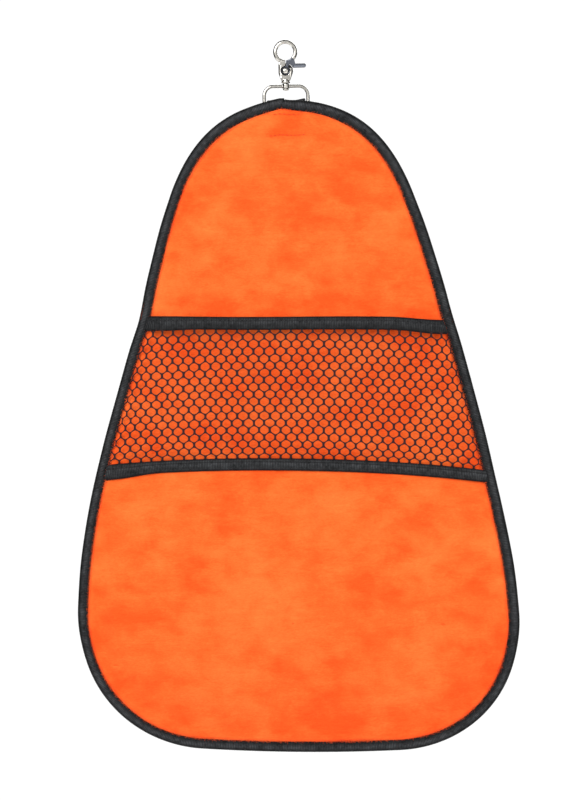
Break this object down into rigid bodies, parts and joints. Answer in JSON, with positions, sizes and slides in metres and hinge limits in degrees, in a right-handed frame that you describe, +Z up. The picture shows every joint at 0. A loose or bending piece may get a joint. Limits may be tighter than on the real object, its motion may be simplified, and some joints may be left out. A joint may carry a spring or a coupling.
{
  "type": "hand warmer muff",
  "caption": "Flat pear-shaped plush panel with taped edge and net front pocket, hung by a webbing tab from a swivel trigger snap.",
  "frame": {"origin": "centre of the snap's ring, where it hangs from whatever it is clipped to", "axes": "+Z up along the hanging panel, -Y out of the front with the pocket, +X to the right seen from the front"},
  "size_m": [0.2872, 0.0244, 0.4636],
  "materials": {
    "nickel": "polished",
    "spring_steel": "satin",
    "webbing": "matte",
    "orange_thread": "satin",
    "plush": "matte",
    "wadding": "matte",
    "binding_tape": "matte",
    "black_thread": "satin",
    "net": "matte"
  },
  "bodies": {
    "snap_hook": {"hook_body": "nickel", "trigger_rivet": "nickel", "trigger_spring": "spring_steel", "swivel_pin": "nickel"},
    "trigger": {"trigger": "nickel"},
    "swivel_loop": {"swivel_loop": "nickel"},
    "muff": {"webbing_tab": "webbing", "tab_stitching": "orange_thread", "front_plush": "plush", "insulating_wadding": "wadding", "back_plush": "plush", "edge_binding": "binding_tape", "edge_stitching": "black_thread", "pocket_mesh": "net", "pocket_bottom_binding": "binding_tape", "pocket_bottom_stitching": "black_thread"},
    "pocket_mouth": {"pocket_top_binding": "binding_tape", "pocket_top_stitching": "black_thread"}
  },
  "joints": [
    {"name": "trigger_pivot", "type": "hinge", "parent": "snap_hook", "child": "trigger", "pos_m": [0, 0, -0.0123], "axis": [0, 1, 0], "range_deg": [0, 28], "stiffness_Nm_per_rad": 0.03, "springref_deg": -20.05, "deforming": ["trigger_spring"]},
    {"name": "hook_swivel", "type": "hinge", "parent": "snap_hook", "child": "swivel_loop", "pos_m": [0, 0, -0.0224], "axis": [0, 0, 1], "continuous": true},
    {"name": "tab_swing", "type": "hinge", "parent": "swivel_loop", "child": "muff", "pos_m": [0, 0, -0.0339], "axis": [1, 0, 0], "range_deg": [-40, 120]},
    {"name": "pocket_mouth_open", "type": "slide", "parent": "muff", "child": "pocket_mouth", "axis": [0, -1, 0], "range_m": [0, 0.02], "stiffness_N_per_m": 25}
  ]
}
